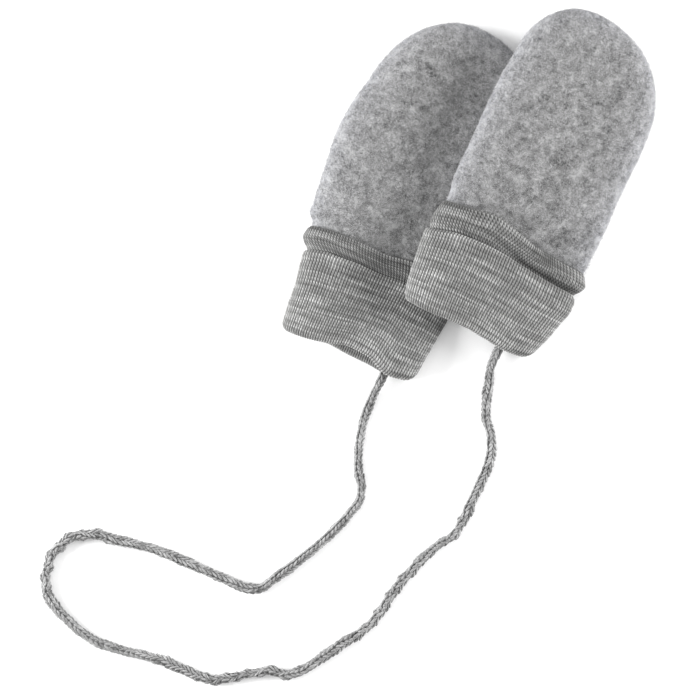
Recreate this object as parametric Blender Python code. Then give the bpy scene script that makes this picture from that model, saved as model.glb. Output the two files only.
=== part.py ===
"""Pair of thumbless baby mittens on one knitted cord, laid flat.

Each mitten is two panels of brushed fleece, sewn together round their edge, and a
jersey cuff that is turned up once. The right mitten leans on the left one's edge.
The frame has +X to the right, +Y towards the fingertips' side of the picture and
+Z up from the surface that the pair lies on. Tables and sizes are in millimetres.
"""
from dataclasses import dataclass
from math import cos, pi, radians, sin

import bmesh
import bpy
import numpy as np

MM = 0.001

# Sewn seams
SEAM_GAP = 0.3
FLEECE_ROWS_BEFORE_TIP = 9
FLEECE_ROWS_ROUND_TIP = 8
FLEECE_ROWS_CLOSER_AT_CUFF = 1.4
FLEECE_COLUMNS = 16
CUFF_COLUMNS = 20

# How the laid cloth stands up: the share of its height at which the edge lies,
# how square its top is across and along, and how far its underside rounds up
EDGE_HEIGHT_SHARE = 0.48
FLEECE_TOP_SQUARENESS = 2.8
FLEECE_TIP_SQUARENESS = 2.6
FLEECE_CROWN_LENGTH = 46.0
FLEECE_ROUNDING = 7.0
CUFF_TOP_SQUARENESS = 4.6
CUFF_ROUNDING = 5.0

# The cuff's nominal lines, as distances from the mouth
MOUTH_LINE = 0.0
TURN_UP_LINE = 36.0
BAND_LINE = 48.0

# One row for each place round the cuff's cut profile: its distance from the mouth,
# how far it lies inside the cuff's outer size, and its share of the crease's depth.
# Walls are 1.3 thick, and the turned-up cloth lies 0.35 outside the wall that it is
# folded back on.
CUFF_PROFILE = (
    # place                      distance  inset  crease
    ("band inside, at the top",      47.0, 1.30, 0.0),
    ("band inside, over the seam",   40.0, 1.30, 0.0),
    ("step below the fleece edge",   37.4, 2.10, 0.0),
    ("inner wall, top",              35.0, 2.95, 0.0),
    ("inner wall, middle",           19.0, 2.95, 0.0),
    ("inner wall, above the fold",    2.6, 2.95, 0.0),
    ("mouth fold, inner shoulder",    0.6, 2.45, 0.0),
    ("mouth fold, lowest",            0.0, 1.48, 0.0),
    ("mouth fold, outer shoulder",    0.6, 0.50, 0.0),
    ("turn-up, above the fold",       2.6, 0.00, 0.0),
    ("turn-up, lower third",         12.0, 0.00, 0.0),
    ("turn-up, upper third",         22.0, 0.00, 0.0),
    ("turn-up, below the crease",    29.0, -0.10, 0.0),
    ("turn-up, in the crease",       31.2, 0.05, 1.0),
    ("turn-up, above the crease",    33.6, -0.15, 0.0),
    ("top fold, outer shoulder",     35.5, 0.12, 0.0),
    ("top fold, highest",            36.0, 0.65, 0.0),
    ("top fold, inner shoulder",     35.5, 1.22, 0.0),
    ("pocket, outer side",            4.5, 1.30, 0.0),
    ("pocket, inner side",            4.5, 1.65, 0.0),
    ("pocket, top",                  35.6, 1.65, 0.0),
    ("band, foot",                   37.5, 0.95, 0.0),
    ("band, lower shoulder",         39.4, 0.10, 0.0),
    ("band, crown",                  42.6, -0.35, 0.0),
    ("band, upper shoulder",         46.2, 0.00, 0.0),
    ("band, top edge",               48.0, 0.55, 0.0),
)

CORD_DIAMETER = 4.2
CORD_SIDES_SETTING = 2
CORD_POINTS = 64
CORD_CURVE_STEPS = 24

# Cloth colours, as linear red, green and blue, and how matt each cloth is
FLEECE_GREY = (0.35, 0.35, 0.355)
JERSEY_GREY = (0.27, 0.27, 0.27)
YARN_GREY = (0.25, 0.25, 0.25)
FLEECE_ROUGHNESS = 0.95
KNIT_ROUGHNESS = 0.9


@dataclass(frozen=True)
class Section:
    """The fleece's outer size across one line, and the thickness of its wall."""
    distance: float
    left: float
    right: float
    bottom: float
    top: float
    wall: float


@dataclass(frozen=True)
class CuffSection:
    """The cuff's outer size across one line."""
    distance: float
    left: float
    right: float
    top: float


@dataclass(frozen=True)
class CuffLine:
    """Where the cuff's edges run, at one share of its half-width from the middle,
    and how deep the crease near the turn-up's top edge is there."""
    across: float
    mouth: float
    mouth_under: float
    turn_up: float
    band: float
    crease: float


@dataclass(frozen=True)
class Mitten:
    """One mitten: where its mouth lies, how far it is turned, and its tables."""
    name: str
    mouth_x: float
    mouth_y: float
    turn: float
    sections: tuple
    tip: float
    tip_across: float
    left_round_start: float
    right_round_start: float
    cuff_sections: tuple
    cuff_lines: tuple
    lean: float = 0.0
    press: float = 0.0


LEFT = Mitten(
    name="left",
    mouth_x=-52.7,
    mouth_y=-68.2,
    turn=22.5,
    sections=(
        Section(distance=41.5, left=-34.3, right=33.2, bottom=1.7, top=11.2, wall=1.6),
        Section(distance=46.5, left=-34.8, right=32.4, bottom=1.7, top=11.3, wall=1.6),
        Section(distance=51.0, left=-37.8, right=31.4, bottom=1.2, top=11.9, wall=2.2),
        Section(distance=57.0, left=-38.1, right=29.8, bottom=0.0, top=13.6, wall=3.0),
        Section(distance=70.0, left=-39.2, right=27.8, bottom=0.0, top=15.6, wall=3.0),
        Section(distance=84.0, left=-40.2, right=26.6, bottom=0.0, top=16.6, wall=3.0),
        Section(distance=98.0, left=-39.2, right=26.2, bottom=0.0, top=17.0, wall=3.0),
        Section(distance=112.0, left=-36.6, right=26.0, bottom=0.0, top=17.0, wall=3.0),
    ),
    tip=151.4,
    tip_across=-1.2,
    left_round_start=105.0,
    right_round_start=135.0,
    cuff_sections=(
        CuffSection(distance=0.0, left=-30.4, right=31.0, top=11.6),
        CuffSection(distance=10.0, left=-31.1, right=32.2, top=12.0),
        CuffSection(distance=20.0, left=-31.7, right=33.5, top=12.2),
        CuffSection(distance=30.0, left=-33.1, right=34.8, top=12.4),
        CuffSection(distance=36.0, left=-33.9, right=35.3, top=12.6),
        CuffSection(distance=42.0, left=-36.2, right=35.4, top=13.0),
        CuffSection(distance=48.0, left=-36.4, right=34.6, top=13.0),
    ),
    cuff_lines=(
        CuffLine(across=-1.0, mouth=-0.6, mouth_under=-0.6, turn_up=34.8, band=45.3, crease=0.1),
        CuffLine(across=-0.7, mouth=-0.3, mouth_under=0.2, turn_up=37.4, band=46.7, crease=0.6),
        CuffLine(across=-0.35, mouth=1.3, mouth_under=1.2, turn_up=37.6, band=47.0, crease=0.65),
        CuffLine(across=0.0, mouth=3.5, mouth_under=0.2, turn_up=37.4, band=46.3, crease=0.25),
        CuffLine(across=0.3, mouth=2.7, mouth_under=-0.4, turn_up=38.0, band=47.5, crease=0.0),
        CuffLine(across=0.65, mouth=-1.6, mouth_under=-1.4, turn_up=38.0, band=48.0, crease=0.0),
        CuffLine(across=1.0, mouth=-0.4, mouth_under=-0.4, turn_up=36.0, band=46.0, crease=0.0),
    ),
    press=0.44,
)

RIGHT = Mitten(
    name="right",
    mouth_x=-1.9,
    mouth_y=-58.3,
    turn=24.5,
    sections=(
        Section(distance=41.5, left=-30.5, right=36.3, bottom=1.7, top=11.2, wall=1.6),
        Section(distance=50.5, left=-30.3, right=36.6, bottom=1.7, top=11.3, wall=1.6),
        Section(distance=57.0, left=-31.2, right=36.9, bottom=0.0, top=13.4, wall=3.0),
        Section(distance=70.0, left=-31.4, right=37.1, bottom=0.0, top=15.6, wall=3.0),
        Section(distance=88.0, left=-31.4, right=37.1, bottom=0.0, top=17.0, wall=3.0),
        Section(distance=106.0, left=-31.4, right=36.9, bottom=0.0, top=17.0, wall=3.0),
        Section(distance=118.0, left=-30.3, right=36.8, bottom=0.0, top=17.0, wall=3.0),
    ),
    tip=147.5,
    tip_across=-5.0,
    left_round_start=117.0,
    right_round_start=110.0,
    cuff_sections=(
        CuffSection(distance=0.0, left=-29.6, right=30.8, top=11.6),
        CuffSection(distance=10.0, left=-31.3, right=33.4, top=12.0),
        CuffSection(distance=20.0, left=-32.2, right=35.8, top=12.2),
        CuffSection(distance=30.0, left=-33.0, right=38.0, top=12.4),
        CuffSection(distance=36.0, left=-33.2, right=37.8, top=12.6),
        CuffSection(distance=42.0, left=-32.4, right=39.0, top=13.0),
        CuffSection(distance=48.0, left=-32.0, right=38.0, top=13.0),
    ),
    cuff_lines=(
        CuffLine(across=-1.0, mouth=1.8, mouth_under=1.8, turn_up=33.6, band=47.5, crease=0.0),
        CuffLine(across=-0.6, mouth=1.0, mouth_under=2.0, turn_up=37.0, band=49.3, crease=0.15),
        CuffLine(across=-0.3, mouth=1.4, mouth_under=2.2, turn_up=37.4, band=50.8, crease=0.3),
        CuffLine(across=0.0, mouth=1.5, mouth_under=2.2, turn_up=36.8, band=48.3, crease=0.3),
        CuffLine(across=0.3, mouth=0.6, mouth_under=1.6, turn_up=35.4, band=45.8, crease=0.2),
        CuffLine(across=0.65, mouth=-0.5, mouth_under=0.6, turn_up=34.0, band=44.6, crease=0.1),
        CuffLine(across=1.0, mouth=0.6, mouth_under=0.6, turn_up=33.2, band=43.8, crease=0.0),
    ),
    lean=8.6,
)

# Where the right mitten starts to rise, over what width it reaches its lean, and
# where the lean eases off again past the left mitten's tip
LEAN_START = 12.0
LEAN_WIDTH = 34.0
LEAN_EASE_START = 105.0
LEAN_EASE_LENGTH = 42.0
LEAN_EASE_SHARE = 0.4

# Where the left mitten starts to be pressed down, across and along it
PRESS_START = -20.0
PRESS_WIDTH = 29.0
PRESS_CUFF_START = 8.0
PRESS_CUFF_LENGTH = 22.0

# The cord's route from inside the left mouth to inside the right one: the middle
# of the cord at points chosen by hand, as (x, y, height)
CORD_ROUTE = (
    (-30.4, -62.8, 5.1),
    (-33.4, -69.6, 5.3),
    (-36.7, -77.4, 4.9),
    (-39.4, -82.6, 3.3),
    (-42.2, -88.6, 2.2),
    (-46.1, -100.8, 2.2),
    (-47.6, -115.0, 2.2),
    (-46.2, -126.0, 2.2),
    (-48.5, -133.5, 2.2),
    (-62.7, -148.7, 2.2),
    (-82.4, -163.9, 2.2),
    (-92.4, -169.3, 2.2),
    (-108.6, -163.4, 2.2),
    (-132.5, -153.1, 2.2),
    (-150.0, -148.5, 2.2),
    (-165.2, -145.6, 2.2),
    (-176.4, -151.0, 2.2),
    (-181.4, -160.6, 2.2),
    (-180.8, -172.2, 2.2),
    (-171.8, -183.2, 2.2),
    (-158.6, -192.6, 2.2),
    (-134.0, -199.4, 2.2),
    (-121.8, -204.3, 2.2),
    (-110.8, -208.2, 2.2),
    (-98.7, -206.6, 2.2),
    (-87.1, -204.5, 2.2),
    (-74.4, -205.3, 2.2),
    (-56.0, -193.9, 2.2),
    (-42.2, -184.3, 2.2),
    (-30.0, -167.5, 2.2),
    (-16.4, -153.0, 2.2),
    (-5.1, -144.4, 2.2),
    (2.6, -129.1, 2.2),
    (8.6, -115.6, 2.2),
    (9.8, -104.9, 2.2),
    (7.4, -93.9, 2.2),
    (8.8, -81.0, 2.2),
    (9.6, -74.4, 3.0),
    (12.7, -66.4, 5.2),
    (20.6, -52.6, 5.4),
)


def curve_through(xs, ys, x):
    """Monotone cubic curve through (xs, ys), level past both ends."""
    xs = np.asarray(xs, float)
    ys = np.asarray(ys, float)
    step = np.diff(xs)
    slope = np.diff(ys) / step
    tangent = np.zeros(len(xs))
    tangent[0] = slope[0]
    tangent[-1] = slope[-1]
    before = slope[:-1]
    after = slope[1:]
    same_way = before * after > 0
    mean = 2 * before * after / np.where(same_way, before + after, 1)
    tangent[1:-1] = np.where(same_way, mean, 0)
    x = np.clip(x, xs[0], xs[-1])
    i = np.clip(np.searchsorted(xs, x, side="right") - 1, 0, len(step) - 1)
    t = (x - xs[i]) / step[i]
    value = ys[i] * (2 * t**3 - 3 * t**2 + 1) + ys[i + 1] * (3 * t**2 - 2 * t**3)
    value += step[i] * tangent[i] * (t**3 - 2 * t**2 + t)
    value += step[i] * tangent[i + 1] * (t**3 - t**2)
    return value


def column(table, name, x, key="distance"):
    """A table's column, read between its rows."""
    xs = [getattr(row, key) for row in table]
    ys = [getattr(row, name) for row in table]
    return curve_through(xs, ys, x)


def eased(x):
    """0 to 1, with a level start and end."""
    x = np.clip(x, 0, 1)
    return x * x * (3 - 2 * x)


def rounded(share, squareness):
    """1 in the middle, 0 at share 1, where it ends upright."""
    return np.sqrt(np.clip(1 - np.abs(share)**squareness, 0, 1))


def rounded_edge(inward, rounding):
    """1 further in than the rounding, down to 0 at the edge as a quarter circle."""
    share = np.clip(1 - inward / rounding, 0, 1)
    return np.sqrt(1 - share**2)


def world(mitten, distance, across, height):
    """World place, in metres, of a point given along, across and above a mitten."""
    lean = mitten.lean * eased((LEAN_START - across) / LEAN_WIDTH)
    ease_off = eased((distance - LEAN_EASE_START) / LEAN_EASE_LENGTH)
    lean = lean * (1 - LEAN_EASE_SHARE * ease_off)
    press = mitten.press * eased((across - PRESS_START) / PRESS_WIDTH)
    press = press * eased((distance - PRESS_CUFF_START) / PRESS_CUFF_LENGTH)
    turn = radians(mitten.turn)
    x = mitten.mouth_x + distance * sin(turn) + across * cos(turn)
    y = mitten.mouth_y + distance * cos(turn) - across * sin(turn)
    z = height * (1 - press) + lean
    return np.stack(np.broadcast_arrays(x, y, z), axis=-1) * MM


def shares_across(count):
    """Shares of the half-width from the left edge to the right, closer at both."""
    return np.sin(np.linspace(-pi / 2, pi / 2, count + 1))


def fleece_edge(mitten, side, distance, inset):
    """Where the fleece's left or right edge lies, with its round tip."""
    inward = 1 if side == "left" else -1
    start = mitten.left_round_start if side == "left" else mitten.right_round_start
    edge = column(mitten.sections, side, distance) + inward * inset
    share = np.clip((distance - start) / (mitten.tip - inset - start), 0, 1)
    return mitten.tip_across + (edge - mitten.tip_across) * np.sqrt(1 - share**2)


def fleece_row(mitten, part, layer, station):
    """One row of points across a panel's outer or inner face."""
    inner = layer == "inner"
    start = min(mitten.left_round_start, mitten.right_round_start)
    if station <= 1:
        walked = station**FLEECE_ROWS_CLOSER_AT_CUFF
        distance = mitten.sections[0].distance * (1 - walked) + start * walked
        inset = column(mitten.sections, "wall", distance) if inner else 0.0
    else:
        inset = mitten.sections[-1].wall if inner else 0.0
        distance = start + (mitten.tip - inset - start) * sin((station - 1) * pi / 2)
    left = fleece_edge(mitten, "left", distance, inset)
    right = fleece_edge(mitten, "right", distance, inset)
    share = shares_across(FLEECE_COLUMNS)
    across = (left + right) / 2 + share * (right - left) / 2
    bottom = column(mitten.sections, "bottom", distance)
    top = column(mitten.sections, "top", distance)
    middle = bottom + EDGE_HEIGHT_SHARE * (top - bottom)
    to_tip = mitten.tip - inset - distance
    if part == "upper":
        seam = middle + SEAM_GAP / 2
        crown = np.clip(1 - to_tip / FLEECE_CROWN_LENGTH, 0, 1)
        rise = rounded(share, FLEECE_TOP_SQUARENESS) * rounded(crown, FLEECE_TIP_SQUARENESS)
        height = seam + (top - inset - seam) * rise
    else:
        seam = middle - SEAM_GAP / 2
        half_width = max((right - left) / 2, SEAM_GAP)
        rounding = min(FLEECE_ROUNDING, half_width)
        sides = rounded_edge(half_width * (1 - np.abs(share)), rounding)
        end = rounded_edge(max(to_tip, 0), FLEECE_ROUNDING)
        height = seam - (seam - bottom - inset) * sides * end
    return world(mitten, distance, across, height)


def make_object(name, mesh_or_curve, material):
    """An object with its material, in the scene."""
    mesh_or_curve.materials.append(material)
    made = bpy.data.objects.new(name, mesh_or_curve)
    bpy.context.scene.collection.objects.link(made)
    return made


def finish_mesh(name, bm, material):
    """Turns the faces outwards, smooths them and makes the object."""
    bmesh.ops.recalc_face_normals(bm, faces=bm.faces)
    mesh = bpy.data.meshes.new(name)
    bm.to_mesh(mesh)
    bm.free()
    mesh.shade_smooth()
    return make_object(name, mesh, material)


def skin(bm, first, second, closed):
    """Quads between two rows of vertices, round to the start if closed."""
    count = len(first)
    for i in range(count if closed else count - 1):
        j = (i + 1) % count
        bm.faces.new((first[i], first[j], second[j], second[i]))


def fan(bm, row, point):
    """Triangles from a row of vertices to one point."""
    for first, second in zip(row, row[1:]):
        bm.faces.new((first, second, point))


def fleece_panel(mitten, part, material):
    """One fleece panel: an outer and an inner face, joined at the seam and the end."""
    before = np.linspace(0, 1, FLEECE_ROWS_BEFORE_TIP)
    round_tip = 1 + np.arange(1, FLEECE_ROWS_ROUND_TIP) / FLEECE_ROWS_ROUND_TIP
    stations = np.concatenate([before, round_tip])
    bm = bmesh.new()
    faces = {}
    points = {}
    for layer in ("outer", "inner"):
        faces[layer] = [
            [bm.verts.new(point) for point in fleece_row(mitten, part, layer, station)]
            for station in stations
        ]
        last = fleece_row(mitten, part, layer, 2.0)
        points[layer] = bm.verts.new(last[len(last) // 2])
        for first, second in zip(faces[layer], faces[layer][1:]):
            skin(bm, first, second, closed=False)
        fan(bm, faces[layer][-1], points[layer])
    skin(bm, faces["outer"][0], faces["inner"][0], closed=False)
    for side in (0, -1):
        outer_edge = [row[side] for row in faces["outer"]] + [points["outer"]]
        inner_edge = [row[side] for row in faces["inner"]] + [points["inner"]]
        skin(bm, outer_edge, inner_edge, closed=False)
    return finish_mesh(f"{mitten.name}_mitten_{part}_fleece_panel", bm, material)


def cuff_ring(mitten, distance, inset, crease_share):
    """One ring of points round the flattened cuff, over the top and back below."""
    share = shares_across(CUFF_COLUMNS)
    left = column(mitten.cuff_sections, "left", distance) + inset
    right = column(mitten.cuff_sections, "right", distance) - inset
    top = column(mitten.cuff_sections, "top", distance)
    middle = EDGE_HEIGHT_SHARE * top
    half_width = (right - left) / 2
    across = (left + right) / 2 + share * half_width
    nominal = (MOUTH_LINE, TURN_UP_LINE, BAND_LINE)
    lines = {
        name: column(mitten.cuff_lines, name, share, key="across")
        for name in ("mouth", "mouth_under", "turn_up", "band")
    }
    over = [lines["mouth"], lines["turn_up"], lines["band"]]
    under = [lines["mouth_under"], lines["turn_up"], lines["band"]]
    along_top = [np.interp(distance, nominal, place) for place in zip(*over)]
    along_under = [np.interp(distance, nominal, place) for place in zip(*under)]
    crease = crease_share * column(mitten.cuff_lines, "crease", share, key="across")
    high = middle + (top - inset - middle) * rounded(share, CUFF_TOP_SQUARENESS) - crease
    sides = rounded_edge(half_width * (1 - np.abs(share)), CUFF_ROUNDING)
    low = middle - (middle - max(inset, 0)) * sides
    above = world(mitten, np.array(along_top), across, high)
    below = world(mitten, np.array(along_under), across, low)
    return np.concatenate([above, below[-2:0:-1]])


def cuff(mitten, material):
    """The jersey cuff: its cut profile carried round the wrist as one closed wall."""
    bm = bmesh.new()
    rings = [
        [bm.verts.new(point) for point in cuff_ring(mitten, distance, inset, crease_share)]
        for _, distance, inset, crease_share in CUFF_PROFILE
    ]
    for first, second in zip(rings, rings[1:] + rings[:1]):
        skin(bm, first, second, closed=True)
    return finish_mesh(f"{mitten.name}_mitten_jersey_cuff", bm, material)


def smooth_route(route, count):
    """Evenly spaced points on a smooth curve through the route's points."""
    route = np.array(route)
    padded = np.vstack([2 * route[0] - route[1], route, 2 * route[-1] - route[-2]])
    t = np.linspace(0, 1, CORD_CURVE_STEPS, endpoint=False)[:, None]
    pieces = []
    for before, start, end, after in zip(padded, padded[1:], padded[2:], padded[3:]):
        bend = 2 * before - 5 * start + 4 * end - after
        swing = 3 * start - before - 3 * end + after
        pieces.append((2 * start + (end - before) * t + bend * t**2 + swing * t**3) / 2)
    fine = np.vstack(pieces + [route[-1:]])
    walked = np.concatenate([[0], np.cumsum(np.linalg.norm(np.diff(fine, axis=0), axis=1))])
    even = np.linspace(0, walked[-1], count)
    return np.stack([np.interp(even, walked, fine[:, axis]) for axis in range(3)], axis=1)


def cord(material):
    """The cord as a plain round tube along its route, with closed ends."""
    curve = bpy.data.curves.new("cord", "CURVE")
    curve.dimensions = "3D"
    curve.bevel_depth = CORD_DIAMETER / 2 * MM
    curve.bevel_resolution = CORD_SIDES_SETTING
    curve.render_resolution_u = 0
    curve.use_fill_caps = True
    points = smooth_route(CORD_ROUTE, CORD_POINTS) * MM
    spline = curve.splines.new("POLY")
    spline.points.add(len(points) - 1)
    for spot, place in zip(spline.points, points):
        spot.co = (*place, 1)
    return make_object("knitted_cord", curve, material)


def cloth_material(name, colour, roughness):
    """A plain matt cloth colour."""
    material = bpy.data.materials.new(name)
    material.use_nodes = True
    shader = material.node_tree.nodes["Principled BSDF"]
    shader.inputs["Base Color"].default_value = (*colour, 1)
    shader.inputs["Roughness"].default_value = roughness
    shader.inputs["Metallic"].default_value = 0
    return material


def build():
    """The whole pair and its cord."""
    for old in list(bpy.data.objects):
        bpy.data.objects.remove(old, do_unlink=True)
    fleece = cloth_material("grey_melange_fleece", FLEECE_GREY, FLEECE_ROUGHNESS)
    jersey = cloth_material("grey_melange_jersey", JERSEY_GREY, KNIT_ROUGHNESS)
    yarn = cloth_material("grey_melange_yarn", YARN_GREY, KNIT_ROUGHNESS)
    for mitten in (LEFT, RIGHT):
        for part in ("lower", "upper"):
            fleece_panel(mitten, part, fleece)
        cuff(mitten, jersey)
    cord(yarn)


build()
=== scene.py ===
"""A pair of thumbless baby mittens on one knitted cord, laid flat and seen from above.

Brushed fleece panels, jersey cuffs turned up once, and the cord are worked out with
numpy from the tables below, which give the same shapes as the frame's solids. Tables
and sizes are in millimetres, and turned to metres where a mesh is made.
"""
from dataclasses import dataclass
from math import pi, radians

import bmesh
import bpy
import numpy as np
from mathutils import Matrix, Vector


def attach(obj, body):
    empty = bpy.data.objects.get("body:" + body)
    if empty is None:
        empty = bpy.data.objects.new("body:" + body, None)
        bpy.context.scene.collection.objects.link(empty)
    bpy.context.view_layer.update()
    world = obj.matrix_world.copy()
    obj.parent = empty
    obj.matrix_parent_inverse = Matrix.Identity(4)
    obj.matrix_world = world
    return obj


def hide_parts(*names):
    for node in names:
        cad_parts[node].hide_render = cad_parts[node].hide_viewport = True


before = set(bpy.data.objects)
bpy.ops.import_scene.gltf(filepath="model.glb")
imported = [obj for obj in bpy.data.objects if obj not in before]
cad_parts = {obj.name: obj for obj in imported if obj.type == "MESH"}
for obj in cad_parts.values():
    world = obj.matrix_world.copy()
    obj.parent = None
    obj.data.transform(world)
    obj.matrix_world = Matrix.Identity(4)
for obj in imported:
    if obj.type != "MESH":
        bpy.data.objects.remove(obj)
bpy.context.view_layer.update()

MM = 0.001

# Fibres and loops that reach the floor lie this high over it
LOWEST_FIBRE = 0.05

# Fibres of each tone on an upper panel and on a lower one, which hardly shows; their
# usual length and width, how steeply they stand off in degrees, and how deep they start
FIBRES_OF_ONE_TONE = {"upper": 20000, "lower": 4000}
FIBRE_LENGTH = 1.9
FIBRE_WIDTH = 0.09
FIBRE_LIFT = 28.0
FIBRE_ROOT_DEPTH = 0.12
FIBRE_CURL = 0.45

# Fibres are this rare on the cloth that lies lower than this over the floor. White ones
# are denser on the clumps, and at the seams as a painted sheen, by these shares, and
# charcoal ones rarer, down to the last share.
HARDLY_SEEN_BELOW = 0.6
HARDLY_SEEN_SHARE = 0.15
TONE_BY_CLUMP = 0.6
PAINTED_RIM_SHEEN_TONE = 0.5
RAREST_TONE = 0.05

# Turns the random fields' lattice away from every edge of the cloth
LATTICE_TILT = np.array([[0.36, 0.48, -0.8], [-0.8, 0.6, 0.0], [0.48, 0.64, 0.6]])

# How the laid cloth stands up, as in the solids
EDGE_HEIGHT_SHARE = 0.48
FLEECE_TOP_SQUARENESS = 2.8
FLEECE_TIP_SQUARENESS = 2.6
FLEECE_CROWN_LENGTH = 46.0
FLEECE_ROUNDING = 7.0
CUFF_TOP_SQUARENESS = 4.6
CUFF_ROUNDING = 5.0
TURN_UP_LINE = 36.0
BAND_LINE = 48.0

# The cuff's rounded corners: how far up the mouth's reach, where those of the turn-up's
# top edge start and what share they are of the mouth corner past the squarest one, and
# where the band's start and how deep they are
CORNER_REACH = 13.0
FOLD_CORNER_START = 28.0
FOLD_CORNER_SHARE = 0.8
SQUAREST_CORNER = 1.2
BAND_CORNER_START = 41.0
BAND_CORNER_DEPTH = 2.4

# Creases lie on the cloth up to this inset, and fade out over the next; at each end
# they start from a share of their depth and reach it over a share of their length
CREASED_INSET = 0.9
CREASED_INSET_FADE = 0.6
CREASE_START_SHARE = 0.3
CREASE_FADE_SHARE = 0.35

# The right mitten's lean on the left one, and where the left one is pressed down
LEAN_START = 12.0
LEAN_WIDTH = 34.0
LEAN_EASE_START = 105.0
LEAN_EASE_LENGTH = 42.0
LEAN_EASE_SHARE = 0.4
PRESS_START = -20.0
PRESS_WIDTH = 29.0
PRESS_CUFF_START = 8.0
PRESS_CUFF_LENGTH = 22.0

# Mesh spacing of the fleece's outer faces and of its inner ones, and how far in from
# the seam its nap is painted paler as a painted sheen, and by what share
FLEECE_SPACING = 0.85
FLEECE_INSIDE_SPACING = 4.0
RIM_WIDTH = 6.0
PAINTED_RIM_SHEEN = 0.38

# Relief of the cloth, as depth, lattice size and seed of each random field; the
# clumps' own depth; and the heights from which cloth on the floor takes its relief
FELT_DENTS = ((0.40, 17.0, 3),)
FELT_CLUMPS = ((0.42, 4.2, 5), (0.66, 1.9, 7))
FELT_CLUMP_DEPTH = 0.26
CUFF_WAVES = ((0.22, 11.0, 11), (0.10, 4.0, 13))
FLEECE_RELIEF_START = 0.5
CUFF_RELIEF_START = 0.4
RELIEF_FADE = 3.0

# The cuff's knit: its wales all round, the mesh columns and the ridge of each, the share
# of the ridge that the slack band loses, and the courses' pitch along the cloth, which
# is as long as the whole way round the cut profile
WALES_ROUND = 116
COLUMNS_PER_WALE = 5
WALE_DEPTH = 0.30
BAND_CALM = 0.25
COURSE_PITCH = 1.38
CUFF_CLOTH_LENGTH = 175.0
TURN_STEPS = 2001

# One row for each place round the cuff's cut profile: its distance from the mouth,
# how far it lies inside the cuff's outer size, its shares of the crease's and of the
# valley's depth, and how far apart the mesh rows are from there to the next place
CUFF_PROFILE = (
    # place                      distance  inset  crease valley spacing
    ("band inside, at the top",      47.0, 1.30, 0.0, 0.0, 3.0),
    ("band inside, over the seam",   40.0, 1.30, 0.0, 0.0, 1.5),
    ("step below the fleece edge",   37.4, 2.10, 0.0, 0.6, 1.5),
    ("inner wall, top",              35.0, 2.95, 0.0, 0.3, 4.0),
    ("inner wall, middle",           19.0, 2.95, 0.0, 0.0, 2.0),
    ("inner wall, above the fold",    2.6, 2.95, 0.0, 0.0, 0.6),
    ("mouth fold, inner shoulder",    0.6, 2.45, 0.0, 0.0, 0.4),
    ("mouth fold, lowest",            0.0, 1.48, 0.0, 0.0, 0.4),
    ("mouth fold, outer shoulder",    0.6, 0.50, 0.0, 0.0, 0.5),
    ("turn-up, above the fold",       2.6, 0.00, 0.0, 0.0, 0.8),
    ("turn-up, lower third",         12.0, 0.00, 0.0, 0.0, 0.8),
    ("turn-up, upper third",         22.0, 0.00, 0.0, 0.0, 0.8),
    ("turn-up, below the crease",    29.0, -0.10, 0.0, 0.0, 0.5),
    ("turn-up, in the crease",       31.2, 0.05, 1.0, -0.1, 0.5),
    ("turn-up, above the crease",    33.6, -0.15, 0.0, -0.3, 0.5),
    ("top fold, outer shoulder",     35.5, 0.12, 0.0, -0.4, 0.35),
    ("top fold, highest",            36.0, 0.65, 0.0, -0.4, 0.35),
    ("top fold, inner shoulder",     35.5, 1.22, 0.0, -0.2, 6.0),
    ("pocket, outer side",            4.5, 1.30, 0.0, 0.0, 1.0),
    ("pocket, inner side",            4.5, 1.65, 0.0, 0.0, 6.0),
    ("pocket, top",                  35.6, 1.65, 0.0, 0.3, 0.6),
    ("band, foot",                   37.5, 0.95, 0.0, 0.8, 0.5),
    ("band, lower shoulder",         39.4, 0.10, 0.0, 0.3, 0.6),
    ("band, crown",                  42.6, -0.35, 0.0, 0.0, 0.6),
    ("band, upper shoulder",         46.2, 0.00, 0.0, 0.0, 0.4),
    ("band, top edge",               48.0, 0.55, 0.0, 0.0, 0.5),
)

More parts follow.
